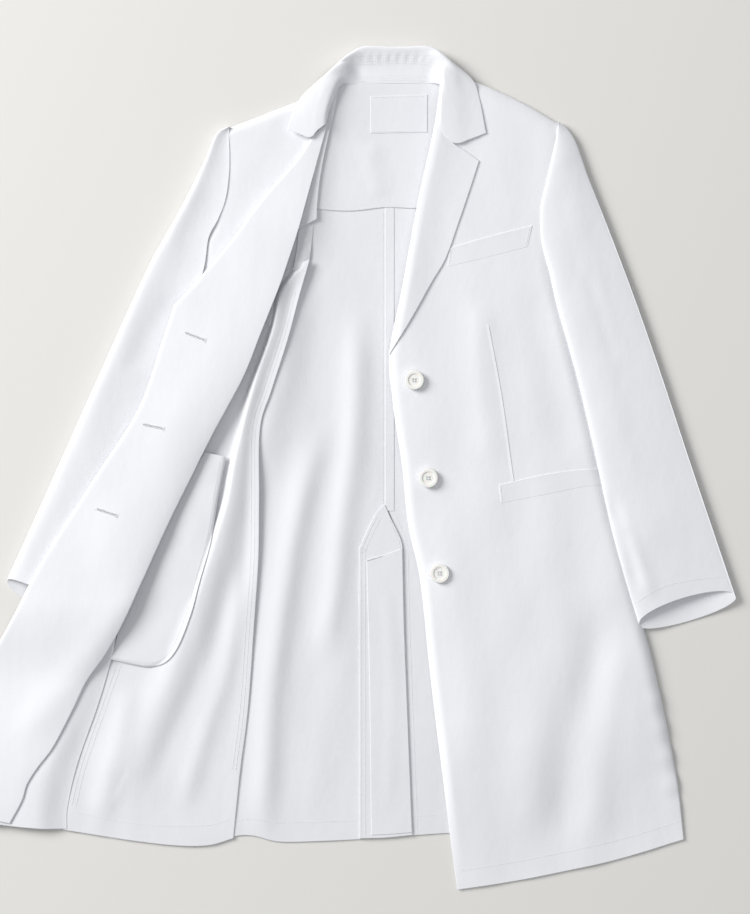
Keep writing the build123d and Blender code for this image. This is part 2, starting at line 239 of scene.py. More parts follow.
def texture(tree, kind, repeats=(1, 1, 1), turn=0.0, **values):
    """A texture in object coordinates, scaled to repeats per metre."""
    coordinates = tree.nodes.new("ShaderNodeTexCoord")
    mapping = set_sockets(tree.nodes.new("ShaderNodeMapping"), Scale=repeats, Rotation=(0, 0, turn))
    made = set_sockets(tree.nodes.new("ShaderNodeTex" + kind), **values)
    tree.links.new(coordinates.outputs["Object"], mapping.inputs["Vector"])
    tree.links.new(mapping.outputs["Vector"], made.inputs["Vector"])
    return made


def bump(tree, source, strength, distance, target):
    """Bump from a texture, into the normal of a shader or of a further bump."""
    made = set_sockets(tree.nodes.new("ShaderNodeBump"), Strength=strength, Distance=distance)
    tree.links.new(source.outputs["Fac"], made.inputs["Height"])
    tree.links.new(made.outputs["Normal"], target.inputs["Normal"])
    return made


def tint(tree, factor, shader, low, high, start=0.0, end=1.0):
    """Colours the shader from low to high as the factor goes from start to end."""
    ramp = tree.nodes.new("ShaderNodeValToRGB")
    first, last = ramp.color_ramp.elements
    first.position, last.position = start, end
    first.color, last.color = (*low, 1), (*high, 1)
    tree.links.new(factor, ramp.inputs["Fac"])
    tree.links.new(ramp.outputs["Color"], shader.inputs["Base Color"])


def wear(tree, factor, shader, low, high):
    """Lets the roughness vary between two values."""
    spread = set_sockets(tree.nodes.new("ShaderNodeMapRange"), To_Min=low, To_Max=high)
    tree.links.new(factor, spread.inputs["Value"])
    tree.links.new(spread.outputs["Result"], shader.inputs["Roughness"])


def cloth_material(name, light, shade, roughness, sheen, turn=0.0, weave=0.00006):
    """Twill: fine diagonal ribs, threads and soft creases as bump, and a faint change of tone."""
    material, tree, shader = principled(
        name, light, roughness, Sheen_Weight=sheen, Sheen_Roughness=0.55, Specular_IOR_Level=0.25
    )
    tone = texture(tree, "Noise", Scale=9, Detail=4)
    slub = texture(tree, "Noise", (2200, 140, 900), turn, Scale=1, Detail=2)
    both = tree.nodes.new("ShaderNodeMath")
    both.operation = "MULTIPLY_ADD"
    both.inputs[1].default_value = 0.35
    tree.links.new(slub.outputs["Fac"], both.inputs[0])
    tree.links.new(tone.outputs["Fac"], both.inputs[2])
    tint(tree, both.outputs["Value"], shader, shade, light, 0.35, 0.95)
    wear(tree, tone.outputs["Fac"], shader, roughness - 0.06, roughness + 0.06)

    ribs = texture(tree, "Wave", turn=turn, Scale=380, Distortion=0.8, Detail=1, Detail_Scale=2)
    ribs.bands_direction = "DIAGONAL"
    threads = texture(tree, "Noise", (2600, 500, 1500), turn, Scale=1, Detail=2)
    crease = texture(tree, "Noise", (1, 0.55, 1), Scale=34, Detail=5, Roughness=0.55)
    crease_bump = bump(tree, crease, 0.35, 0.002, shader)
    thread_bump = bump(tree, threads, 0.4, weave, crease_bump)
    bump(tree, ribs, 0.5, weave, thread_bump)
    return material


def thread_material():
    """Sewing thread: two plies wound round each other."""
    material, tree, shader = principled("sewing_thread", (0.86, 0.87, 0.88), 0.6, Sheen_Weight=0.3)
    plies = texture(tree, "Wave", Scale=900, Distortion=0.5)
    plies.bands_direction = "DIAGONAL"
    tint(tree, plies.outputs["Fac"], shader, (0.76, 0.77, 0.79), (0.9, 0.9, 0.9))
    bump(tree, plies, 0.5, 0.00005, shader)
    return material


def button_material():
    """Ivory-white cast resin with a faint pearly cloud."""
    material, tree, shader = principled(
        "button_resin", (0.95, 0.94, 0.9), 0.28, Coat_Weight=0.35, Coat_Roughness=0.12,
        Subsurface_Weight=0.12, Subsurface_Scale=0.003,
    )
    cloud = texture(tree, "Noise", Scale=160, Detail=3, Distortion=0.6)
    tint(tree, cloud.outputs["Fac"], shader, (0.92, 0.905, 0.855), (0.97, 0.96, 0.925))
    wear(tree, cloud.outputs["Fac"], shader, 0.2, 0.38)
    return material


OUTER = cloth_material("twill_outside", (0.905, 0.91, 0.94), (0.875, 0.88, 0.912), 0.82, 0.25, 0.4)
INNER = cloth_material("twill_inside", (0.855, 0.86, 0.888), (0.815, 0.82, 0.848), 0.88, 0.2, 0.9)
LABEL = cloth_material("label_tape", (0.86, 0.868, 0.9), (0.83, 0.838, 0.87), 0.55, 0.3, 1.57, 0.00004)
THREAD = thread_material()
RESIN = button_material()

# A finish is a material and the name of a slot that goes with it.
OUTSIDE = (OUTER, "outer_cloth")
FACING = (OUTER, "inner_cloth")
INSIDE = (INNER, "inner_cloth")
INTERLINING = (LABEL, "interlining_cloth")
TAPE = (LABEL, "label_tape")


# ---- meshes

def add_object(name, data):
    obj = bpy.data.objects.new(name, data)
    bpy.context.scene.collection.objects.link(obj)
    return obj


def add_mesh(name, vertices, faces):
    """A mesh object from plan coordinates."""
    mesh = bpy.data.meshes.new(name)
    mesh.from_pydata(to_row(vertices).tolist(), [], faces)
    return add_object(name, mesh)


def add_piece(name, vertices, faces, material, slot):
    """A smooth-shaded piece of the coat, of one material."""
    obj = add_mesh(name, vertices, faces)
    obj.data.materials.append(material)
    obj.data.polygons.foreach_set("use_smooth", [True] * len(obj.data.polygons))
    obj.data.update()
    return obj


def normals_of(surface):
    across = np.gradient(surface, axis=1)
    up = np.gradient(surface, axis=0)
    return unit(np.cross(across, up))


def cloth(name, plan, height, finish=OUTSIDE, thickness=CLOTH, face_down=False):
    """A closed thin sheet with a rounded rim; the plan grid at its height is its outer face."""
    surface = np.dstack([plan, height])
    if (normals_of(surface)[..., 2].mean() < 0) != face_down:
        surface = surface[:, ::-1]
    rows, columns = surface.shape[:2]
    normal = normals_of(surface)
    under = surface - normal * thickness
    size = rows * columns
    index = np.arange(size).reshape(rows, columns)
    ring = np.concatenate([index[0], index[1:, -1], index[-1, -2::-1], index[-2:0:-1, 0]])
    edge, edge_under, edge_normal = (grid.reshape(-1, 3)[ring] for grid in (surface, under, normal))
    tangent = np.roll(edge, -1, axis=0) - np.roll(edge, 1, axis=0)
    outward = unit(np.cross(tangent, edge_normal))
    rim = (edge + edge_under) / 2 + outward * thickness * 0.4
    a, b, c, d = index[:-1, :-1], index[:-1, 1:], index[1:, 1:], index[1:, :-1]
    top = np.stack([a, b, c, d], axis=-1).reshape(-1, 4)
    bottom = top[:, ::-1] + size
    rim_ring = 2 * size + np.arange(len(ring))
    next_ring, next_rim = np.roll(ring, -1), np.roll(rim_ring, -1)
    upper = np.stack([ring, rim_ring, next_rim, next_ring], axis=1)
    lower = np.stack([rim_ring, ring + size, next_ring + size, next_rim], axis=1)
    faces = np.vstack([top, bottom, upper, lower])
    vertices = np.vstack([surface.reshape(-1, 3), under.reshape(-1, 3), rim])
    return add_piece(name, vertices, faces.tolist(), *finish)


STITCH_LENGTH = 2.5
STITCH_GAP = 0.7
STITCH_RADIUS = 0.22
STITCH_SIDES = 5
SHORTEST_STITCH = 0.4
SEAM_STEP = 3  # distance between the points at which a seam line is laid down on the cloth
STITCH_LIFT = 0.1
ABOVE_ALL = 80.0


def stitches(name, lines, gap=STITCH_GAP, radius=STITCH_RADIUS):
    """Rows of small sewn stitches along lines of surface points, half sunk into the cloth."""
    vertices, faces = [], []
    for line in lines:
        total = length_of(line)
        pitch = STITCH_LENGTH + gap
        count = max(1, int(total / pitch))
        starts = (np.arange(count) * pitch + gap / 2) / total
        firsts = resample(line, starts)
        lasts = resample(line, np.minimum(starts + STITCH_LENGTH / total, 1))
        for first, last in zip(firsts, lasts):
            run = last - first
            size = np.linalg.norm(run)
            if size < SHORTEST_STITCH:
                continue
            forward = run / size
            sideways = unit(np.cross(forward, [0, 0, 1]))
            up = np.cross(sideways, forward)
            base = len(vertices)
            for share, swell in ((0.0, 0.35), (0.25, 1.0), (0.75, 1.0), (1.0, 0.35)):
                centre = first + run * share
                for turn in range(STITCH_SIDES):
                    angle = 2 * pi * turn / STITCH_SIDES
                    around = cos(angle) * sideways * 1.2 + sin(angle) * up
                    vertices.append(centre + radius * swell * around)
            last_ring = base + 3 * STITCH_SIDES
            for ring in range(base, last_ring, STITCH_SIDES):
                for turn in range(STITCH_SIDES):
                    a = ring + turn
                    b = ring + (turn + 1) % STITCH_SIDES
                    faces.append((a, b, b + STITCH_SIDES, a + STITCH_SIDES))
            faces.append(tuple(range(base + STITCH_SIDES - 1, base - 1, -1)))
            faces.append(tuple(range(last_ring, last_ring + STITCH_SIDES)))
    return add_piece(name, np.array(vertices), faces, THREAD, "sewing_thread")


def tree_of(obj):
    return BVHTree.FromObject(obj, bpy.context.evaluated_depsgraph_get())


def dropped(line, tree):
    """A plan line laid down on a piece of cloth."""
    points = []
    for x, y in line:
        start = to_row([x, y, ABOVE_ALL])
        hit = tree.ray_cast(Vector(start), Vector((0, 0, -1)))[0]
        if hit is not None:
            points.append((x, y, hit.z * 1000 + STITCH_LIFT))
    return np.array(points)


def beside(line, distance):
    """The plan line at a distance to the left of another."""
    line = dense(line)
    run = unit(np.gradient(line, axis=0))
    return line + distance * np.stack([-run[:, 1], run[:, 0]], axis=1)


# ---- motion

FOLD_HALF_WIDTH = 14  # half the width of the strip round a front's fold line


def strip_across(fold):
    """Two points across the middle of a front's fold line, one on each side of it at FOLD_HALF_WIDTH."""
    ends = np.array(fold, float)
    run = ends[1] - ends[0]
    outward = np.array([-run[1], run[0]]) / np.linalg.norm(run)
    middle = ends.mean(axis=0)
    return middle + outward * FOLD_HALF_WIDTH, middle - outward * FOLD_HALF_WIDTH


BENDS = {
    "left_front": strip_across([(55, -55), (330, -871)]),
    "right_front": strip_across([(-74, -34), (-237, -845)]),
    "left_sleeve": ((185, -170), (311, -230)),
    "right_sleeve": ((-205, -186), (-331, -246)),
}
BODY_OF = {}


def follow(obj, body):
    """Notes the piece's body; on a body in BENDS the piece keeps its place in the world, on any other it is
    parented to the body's empty.
    """
    BODY_OF[obj.name] = body
    if body in BENDS:
        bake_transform(obj)
    else:
        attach(obj, body)


def place(obj, body, replaced=()):
    """Gives a cloth piece its body and hides the CAD nodes it stands for."""
    follow(obj, body)
    if replaced:
        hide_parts(*replaced)
    return obj


def sew(name, host, plan_lines, **size):
    """Rows of stitches laid on a piece of cloth along plan lines, moving with it."""
    tree = tree_of(host)
    lines = []
    for plan_line in map(dense, plan_lines):
        points = max(3, int(length_of(plan_line) / SEAM_STEP))
        line = dropped(resample(plan_line, np.linspace(0, 1, points)), tree)
        if len(line) > 1:
            lines.append(line)
    follow(stitches(name, lines, **size), BODY_OF[host.name])


# ---- outlines the pieces share

FRONT_EDGE = [(82, -931), (71, -852), (51, -691), (39, -578), (25, -512), (18, -444), (8, -377), (3, -316)]
ROLL_LINE = [(3, -316), (20, -230), (37, -138), (55, -55), (63, 2)]
FRONT_HEM = [(82, -931), (148, -921), (213, -908), (270, -895), (342, -873)]
BODY_SIDE = [
    (342, -873), (335, -810), (323, -745), (311, -690), (297, -634), (262, -510), (232, -385), (199, -255),
    (184, -195), (183, -147), (191, -95), (199, -52),
]
LEFT_SHOULDER = [(63, 2), (99, -2), (154, -26), (199, -52)]
TURNED_EDGE = [
    (-87, -69), (-102, -92), (-131, -125), (-156, -156), (-177, -185), (-215, -230), (-243, -260),
]
TURNED_FRONT_EDGE = [
    (-243, -260), (-255, -296), (-284, -379), (-340, -467), (-397, -558), (-444, -646), (-545, -803),
]
FACING_INNER = [
    (-68, -53), (-89, -130), (-101, -174), (-115, -217), (-123, -240), (-144, -293), (-164, -343),
    (-198, -406), (-225, -460), (-250, -511), (-279, -575), (-301, -623), (-322, -660), (-344, -691),
    (-360, -724), (-382, -766), (-400, -790), (-412, -809), (-418, -828), (-432, -854),
]
SIDE_FREE_EDGE = [
    (-88, -208), (-99, -246), (-113, -299), (-132, -358), (-145, -402), (-146, -483), (-147, -552),
    (-152, -627), (-159, -724), (-168, -795), (-176, -872),
]
SIDE_FOLD = [
    (-103, -222), (-121, -247), (-130, -290), (-152, -354), (-171, -428), (-181, -483), (-194, -530),
    (-208, -575), (-222, -620), (-250, -700), (-290, -780),
]
SIDE_SEAM = [
    (-222, -262), (-262, -420), (-290, -560), (-313, -667), (-330, -718), (-354, -787), (-366, -836),
    (-367, -862),
]


# ---- back, inside up

BACK_FOLDS = [
    ([(-68, -380), (-98, -483), (-116, -586), (-132, -701), (-141, -851), (-144, -900)], 4.6, 15, 17),
    ([(-33, -250), (-36, -397), (-50, -506), (-60, -598), (-80, -690)], 3.8, 15, 15),
    ([(-60, 15), (-73, -41), (-89, -110), (-97, -165), (-102, -225)], 4.6, 24, None, 0.25),
    ([(-98, -200), (-124, -330), (-140, -400), (-146, -480)], 6, 25, None, 0.3),
    ([(-22, -560), (-60, -700), (-90, -860)], 1, 20),
    ([(52, -250), (40, -420), (55, -560)], 1.8, 18),
]


def back_height(plan):
    folds = folded(0.0, plan, BACK_FOLDS)
    folds += 0.4 * ripple(plan, 130, 3, stretch=(0.6, 1.8))
    neck = 1.6 * ease((plan[..., 1] + 70) / 70)
    return 1.8 + np.maximum(folds, -0.4) + neck


def back_right():
    centre_seam = [(-1, -4), (-1, -300), (-1, -491)]
    vent = [(-1, -491), (-6, -506), (-20, -528), (-27, -550), (-27, -700), (-27, -873)]
    outer = [
        (-228, -873), (-200, -720), (-176, -560), (-150, -420), (-128, -300), (-190, -210), (-183, -120),
        (-180, -58),
    ]
    hem = [(-228, -873), (-200, -879), (-176, -870), (-153, -869), (-122, -876), (-69, -875), (-27, -873)]
    top = [(-180, -58), (-97, -24), (-39, -4), (-1, -4)]
    plan = patch(hem, top, outer, joined(centre_seam, vent)[::-1], (200, 3.4), (870, 4.2))
    return cloth("back_right_cloth", plan, back_height(plan), INSIDE)


def back_left():
    centre_seam = [(-1, -4), (-1, -300), (1, -491)]
    vent = [(1, -491), (9, -513), (14, -540), (17, -621), (20, -713), (26, -869)]
    hem = [(26, -869), (74, -866), (180, -862), (300, -850), (334, -845)]
    outer = smooth([
        (334, -845), (318, -745), (292, -634), (226, -385), (180, -195), (180, -147), (196, -56),
    ])
    top = [(-1, -4), (53, -4), (99, -8), (196, -56)]
    plan = patch(hem, top, joined(centre_seam, vent)[::-1], outer, (260, 4.4), (870, 4.4))
    height = CLOTH + (back_height(plan) - CLOTH) * rounded(to_line(plan, outer)[0], 20)
    return cloth("back_left_cloth", plan, height, INSIDE)


YOKE_LIFT = 1.2  # how far the yoke facing lies above the back


def yoke_facing():
    hem = [(-118, -140), (-78, -149), (-39, -151), (-1, -147), (34, -148), (80, -146), (130, -128)]
    top = [(-100, -42), (-60, -13), (-39, 1), (7, 2), (53, 1), (80, -6), (130, -20)]
    left = [(-118, -140), (-100, -42)]
    right = [(130, -128), (130, -20)]
    plan = patch(hem, top, left, right, (248, 3), (140, 3))
    height = back_height(plan) + YOKE_LIFT + ridge(plan, [(-20, -70), (-8, -140)], 0.8, 12)
    return cloth("yoke_facing_cloth", plan, height, INSIDE)


def neck_label():
    bottom, top = [(-18, -62), (47, -61)], [(-18, -20), (47, -18)]
    left, right = [bottom[0], top[0]], [bottom[1], top[1]]
    plan = patch(bottom, top, left, right, (65, 2.4), (42, 2.4))
    return cloth("neck_label_tape", plan, back_height(plan) + YOKE_LIFT + 0.5, TAPE, 0.3)


VENT_LEFT = [(-31, -872), (-31, -700), (-31, -552), (-29, -536), (-21, -517), (-11.6, -499), (-3, -489)]
VENT_RIGHT = [
    (30, -868), (24, -713), (20.6, -621), (18.8, -547), (17.2, -531), (11.4, -517.5), (4.5, -503.7),
    (-2, -489),
]


def underlap_height(plan):
    height = back_height(plan) + 1.5 + ridge(plan, [(0, -560), (6, -700), (2, -860)], 0.6, 10)
    return np.maximum(height, 3.4)


def vent_underlap():
    hem = [(-31, -872), (0, -871), (30, -868)]
    top = [(-3, -489), (-2, -489)]
    plan = patch(hem, top, VENT_LEFT, VENT_RIGHT, (60, 2.4), (380, 3.2))
    return cloth("vent_underlap_cloth", plan, underlap_height(plan), INSIDE, 0.8)


def underlap_fold():
    """The underlap's own turned edge, a second layer with a crisp left side and a slanted top."""
    left = [(-17, -868), (-19, -700), (-22, -566), (-22, -553)]
    right = [(29.4, -865), (23.4, -713), (20.0, -621), (18.2, -539)]
    hem = [(-17, -868), (5, -867), (29.4, -865)]
    top = [(-22, -553), (-4, -547), (18.2, -539)]
    plan = patch(hem, top, left, right, (40, 2.2), (325, 3.2))
    return cloth("underlap_fold_cloth", plan, underlap_height(plan) + 0.6, INSIDE, 0.5)


SEAM_FLAP_WIDTH = 10.3


def centre_seam_flap():
    """The pressed-open flap of the centre seam, lying on the back along its seam line."""
    seam = smooth([(-1.3, -146), (-1.3, -300), (-1.3, -496)])
    across = shares(SEAM_FLAP_WIDTH, 2.0, rings=(0.0, 0.6))
    plan = band(seam, beside(seam, SEAM_FLAP_WIDTH), across, shares(length_of(seam), 4.0))
    return cloth("centre_seam_flap", plan, back_height(plan) + 0.4, INSIDE, 0.4)


# ---- side of the right half, inside up

SIDE_SOFT_FOLDS = [
    ([(-170, -527), (-197, -637), (-250, -760), (-281, -836)], -1.5, 13),
    ([(-161, -560), (-183, -673), (-214, -769), (-236, -849)], 2.5, 13),
    ([(-290, -690), (-312, -770), (-330, -860)], 1.8, 14),
]


def side_height(plan):
    distance, side, along = to_line(plan, SIDE_FOLD)
    crest = np.interp(along, [0, 0.08, 0.3, 0.55, 0.75, 1], [8, 10, 9.5, 7.5, 6.5, 4])
    steep = np.interp(along, [0, 0.45, 0.7, 1], [3.5, 5, 14, 30])
    gentle = np.interp(along, [0, 0.3, 0.6, 1], [16, 20, 24, 34])
    width = np.where(side > 0, gentle, steep)
    height = 2.8 + crest * np.exp(-((distance / width) ** 2))
    free, _, down = to_line(plan, SIDE_FREE_EDGE)
    free_edge = np.interp(down, [0, 0.1, 0.3, 0.6, 0.9, 1], [9.5, 11.2, 9.4, 4.8, 3.6, 3])
    height = free_edge + (height - free_edge) * ease(free / 20)
    height = folded(height, plan, SIDE_SOFT_FOLDS)
    height += 0.3 * ripple(plan, 70, 8, stretch=(0.6, 1.5))
    return np.maximum(height, 2.4)


def side_right():
    hem = [(-371, -862), (-334, -868), (-296, -874), (-244, -880), (-205, -880), (-176, -872)]
    top = [(-226, -262), (-150, -240), (-109, -216), (-88, -208)]
    left = smooth([(x - 4, y) for x, y in SIDE_SEAM])[::-1]
    right = smooth(SIDE_FREE_EDGE)[::-1]
    plan = patch(hem, top, left, right, (170, 2.4), (640, 3.2))
    return cloth("side_right_cloth", plan, side_height(plan), INSIDE, 1.1)


# ---- right front, turned back

TURNED_OUTLINE = joined(TURNED_EDGE, TURNED_FRONT_EDGE)


def to_turned(plan):
    """Distance in from the turned-back front's left edge, negative outside it."""
    distance, side, _ = to_line(plan, TURNED_OUTLINE)
    return distance * side


TURNED_FOLDS = [
    ([(-170, -250), (-250, -420), (-330, -560)], 0.8, 24),
    ([(-260, -560), (-330, -650), (-430, -770)], 2, 20),
]


def turned_height(plan):
    """The turned-back front lies over the sleeve, rises to its inner edge and comes down below the cuff."""
    below_cuff = below(plan, 600, 95)
    below_collar = below(plan, 70, 110)
    rise = 5.0 * np.clip(to_turned(plan) / 125, 0, 1)
    height = 9.8 + below_collar * (4.0 + rise) - 9.4 * below_cuff
    inner, _, along = to_line(plan, FACING_INNER)
    droop = np.interp(along, [0, 0.3, 0.45, 0.7, 0.88], [0.8, 1.6, 5, 4.4, 1.5])
    height -= droop * np.exp(-np.abs(inner) / 15)
    height = folded(height, plan, TURNED_FOLDS)
    height += 0.5 * ripple(plan, 100, 12, stretch=(0.8, 1.5), turn=0.5)
    return height


def facing_right():
    hem = [(-545, -803), (-500, -832), (-470, -845), (-432, -854)]
    top = [(-87, -69), (-78, -61), (-68, -53)]
    right = smooth(FACING_INNER)[::-1]
    plan = patch(hem, top, TURNED_OUTLINE[::-1], right, (110, 2.6), (900, 3))
    rolled = rounded(to_line(plan, TURNED_OUTLINE)[0], 3.5)
    height = turned_height(plan) + 2.0 - 1.8 * (1 - rolled)
    return cloth("facing_right_cloth", plan, height, FACING)


FRONT_RIGHT_INNER = [
    (-84, -74), (-100, -150), (-124, -225), (-150, -293), (-204, -406), (-256, -511), (-300, -605),
    (-316, -667), (-331, -718), (-355, -787), (-366, -836), (-367, -861),
]


def front_right():
    right = smooth(FRONT_RIGHT_INNER)[::-1]
    hem = [(-545, -803), (-470, -850), (-440, -856), (-400, -860), (-367, -861)]
    top = [(-87, -69), (-84, -74)]
    plan = patch(hem, top, TURNED_OUTLINE[::-1], right, (150, 3.6), (900, 3.8))
    rolled = rounded(to_line(plan, TURNED_OUTLINE)[0], 6.0)
    height = turned_height(plan) - 0.8 * (1 - rolled)
    seam = to_line(plan, smooth(SIDE_SEAM[3:]))[0]
    down = below(plan, 640, 40) * (1 - ease(seam / 34))
    height = height * (1 - down) + 3.7 * down
    return cloth("front_right_cloth", plan, height, INSIDE, 1.0)


def layer_between(name, left, right, height_of, depth, thickness, finish):
    """A hidden layer of a front between two long lines, at a depth below a height."""
    left, right = smooth(left), smooth(right)
    plan = band(left, right, shares(60, 5.0, rings=(0.0,)), shares(length_of(left), 6.0))
    return cloth(name, plan, height_of(plan) - depth, finish, thickness)


def shoulder_right():
    """Upper chest and shoulder, outside up, between the neck, the armhole and the turned-back front."""
    top = smooth([(-190, -62), (-183, -57), (-131, -37), (-97, -23), (-52, -2)])
    right = [(-142, -272), (-120, -200), (-92, -110), (-70, -40), (-52, -2)]
    left = smooth([(-219, -230), (-213, -185), (-201, -164), (-193, -138), (-188, -97), (-190, -62)])
    hem = [(-219, -230), (-182, -258), (-142, -272)]
    plan = patch(hem, top, left, right, (125, 3), (220, 3))
    shoulder = rounded(to_line(plan, top)[0], 10)
    armhole = to_line(plan, left)[0]
    height = 1.8 + (6.4 - 2.6 * ease(armhole / 130)) * (0.15 + 0.85 * shoulder)
    height += 0.4 * ripple(plan, 60, 21)
    height -= 3.0 * below(plan, 150, 40) * (1 - ease(armhole / 14))
    height = np.minimum(height, turned_height(plan) - 2.6 + 12 * ease(-to_turned(plan) / 6))
    return cloth("shoulder_right_cloth", plan, height)


def yoke_wrap():
    """The yoke facing where it runs over the shoulder seam on to the inside of the right front."""
    right = smooth([(-80, -161), (-79, -140), (-74, -101), (-61, -41), (-51, 4)])
    left = [(-112, -178), (-100, -120), (-84, -60), (-66, -4)]
    hem = [(-112, -178), (-98, -171), (-80, -161)]
    top = [(-66, -4), (-51, 4)]
    plan = patch(hem, top, left, right, (24, 1.8), (170, 2.6))
    height = 8.6 + 0.9 * ease(to_line(plan, right)[0] / 12) + 2.2 * ease((plan[..., 1] + 60) / 60)
    return cloth("yoke_wrap_cloth", plan, height, INSIDE)


def armhole_strip():
    """Side of the armhole seen from inside, between the yoke facing and the side fold."""
    right = smooth([(-112, -300), (-107, -270), (-96, -238), (-90, -215), (-86, -190), (-83, -158)])
    left = [(-128, -300), (-123, -270), (-112, -238), (-106, -215), (-102, -190), (-100, -164)]
    hem = [(-128, -300), (-112, -300)]
    top = [(-100, -164), (-83, -158)]
    plan = patch(hem, top, left, right, (16, 1.4), (145, 2.2))
    height = 6.0 + 1.0 * ease(to_line(plan, right)[0] / 6) + 0.6 * ripple(plan, 20, 5)
    height -= 4.0 * below(plan, 245, 40)
    return cloth("armhole_strip_cloth", plan, height, INSIDE)


def pocket_bag_right():
    right = smooth([
        (-316, -667), (-313, -667.5), (-288, -673), (-271, -675), (-252, -668), (-238, -649), (-224, -613),
        (-215, -579), (-201, -529), (-193, -480), (-184, -434),
    ])
    left = [(-316, -667), (-300, -610), (-268, -530), (-240, -480), (-208, -429)]
    top = [(-208, -429), (-184, -434)]
    bottom = [(-316, -667), (-315.5, -667)]
    plan = patch(bottom, top, left, right, (30, 2), (250, 2.4))
    gap = to_line(plan, right)[0]
    edge = rounded(gap, 5.0)
    height = 4.4 + 2.4 * ease((plan[..., 1] + 650) / 190) + 2.2 * edge - 1.6 * ease(gap / 50)
    height += 0.3 * ripple(plan, 50, 31)
    height = np.maximum(height, side_height(plan) + 1.5 - edge)
    return cloth("pocket_bag_right_cloth", plan, height, INSIDE)


# ---- left front

LEFT_FRONT_FOLDS = [
    ([(256, -590), (234, -678), (214, -740), (206, -805), (207, -890)], -3, 25),
    ([(268, -640), (256, -700), (246, -790), (244, -880)], 1.4, 18),
    ([(168, -640), (174, -740), (172, -880)], 1.4, 26),
    ([(106, -245), (108, -322), (113, -391), (122, -450)], 1.5, 22, 14),
    ([(170, -230), (186, -330), (214, -440)], -1.2, 20),
    ([(40, -480), (84, -620), (110, -800)], 1.4, 28),
]


def left_height(plan):
    side, _, up_side = to_line(plan, BODY_SIDE)
    shoulder = to_line(plan, LEFT_SHOULDER)[0]
    low_side = np.interp(up_side, [0, 0.76, 0.84, 1], [1.8, 2.4, 9.4, 9.4])
    crown = 10.4 + 2.4 * ease(side / 190)
    height = low_side + (crown - low_side) * rounded(side, 15)
    height = 1.8 + (height - 1.8) * (0.1 + 0.9 * rounded(shoulder, 18))
    edge, _, along = to_line(plan, joined(FRONT_EDGE, ROLL_LINE))
    low_edge = np.interp(along, [0, 0.08, 0.6, 0.7, 1], [3, 7, 9.8, 10, 10.8])
    height = low_edge + (height - low_edge) * np.sqrt(ease(edge / 10))
    hem = to_line(plan, FRONT_HEM)[0]
    low_hem = np.minimum(height, 2.6)
    height = low_hem + (height - low_hem) * ease((hem + 8) / 170)
    height = folded(height, plan, LEFT_FRONT_FOLDS)
    height += 0.6 * ripple(plan, 110, 17, stretch=(0.7, 1.6), turn=0.1)
    pucker = ridge(plan, [(309, -676), (324, -742), (333, -800), (339, -850)], 1.0, 13)
    height += pucker * 0.7 * np.sin(plan[..., 1] / 5.2)
    return np.maximum(height, 1.3)


def front_left():
    edge = joined(FRONT_EDGE, ROLL_LINE)
    plan = patch(FRONT_HEM, LEFT_SHOULDER, edge, BODY_SIDE, (250, 3), (900, 3.3))
    return cloth("front_left_cloth", plan, left_height(plan), thickness=1.0)


LAPEL_LIFT = 1.3  # how far the lapel's outer edge lies above the front


def lapel_left():
    roll = smooth(ROLL_LINE[:4])
    outer = [(3.4, -316), (28, -276), (51, -235), (68, -206), (82, -167), (95, -129), (106, -95)]
    gorge = joined([(55, -55), (66, -65), (79, -77)], [(79, -77), (92, -85), (106, -95)])
    bottom = [(3, -316), (3.4, -316)]
    plan = patch(bottom, gorge, roll, outer, (56, 1.9), (270, 2.4))
    distance, _, along = to_line(plan, roll)
    radius = np.interp(along, [0, 0.3, 1], [0.9, 1.7, 2.4])
    rise = np.interp(along, [0, 0.3, 1], [1.3, 3.2, 5])
    lifted = LAPEL_LIFT + (rise - LAPEL_LIFT) * np.exp(-((distance / 24) ** 2))
    height = left_height(plan) - 1.0 + (1.0 + lifted) * rounded(distance, radius)
    return cloth("lapel_left_cloth", plan, height, thickness=1.1)


def raised(name, near, far, height, sink, thickness, replaced=()):
    """A band of cloth laid on the left front between two plan lines; it sinks in towards the far line."""
    near, far = smooth(near), smooth(far)
    across = shares(float(np.linalg.norm(near[0] - far[0])), 2.2, rings=(0.0, 0.5, 1.2))
    plan = band(near, far, across, shares(length_of(near), 2.6))
    rise = height - sink * across[None, :] ** 0.6
    piece = cloth(name, plan, left_height(plan) + rise, thickness=thickness)
    return place(piece, "left_front", replaced)


# ---- sleeves

LEFT_SLEEVE_INNER = [
    (197, -53), (190, -90), (182, -125), (177, -150), (178, -189), (188, -227), (196, -262), (217, -336),
    (233, -402), (247, -466), (260, -525), (276, -584), (290, -627),
]
LEFT_SLEEVE_OUTER = [
    (198, -49), (206, -56), (217, -72), (232, -113), (256, -174), (285, -251), (316, -340), (348, -437),
    (376, -520), (401, -594),
]
RIGHT_SLEEVE_INNER = [
    (-181, -58), (-180, -100), (-184, -136), (-193, -161), (-204, -183), (-210, -220), (-232, -290),
    (-262, -400), (-295, -520), (-325, -630),
]
RIGHT_SLEEVE_OUTER = [
    (-180, -55), (-195, -63), (-209, -95), (-229, -136), (-255, -183), (-276, -222), (-342, -368),
    (-401, -500), (-435, -575),
]
SLEEVE_LINES = {
    "left": (LEFT_SLEEVE_INNER, LEFT_SLEEVE_OUTER),
    "right": (RIGHT_SLEEVE_INNER, RIGHT_SLEEVE_OUTER),
}
SLEEVE_MIDDLE = 6.6  # height at which the two halves meet
UNDER_DROP = 5.6  # how far the under half comes down from there
TOP_RISE = 6  # how far the top half stands up from there


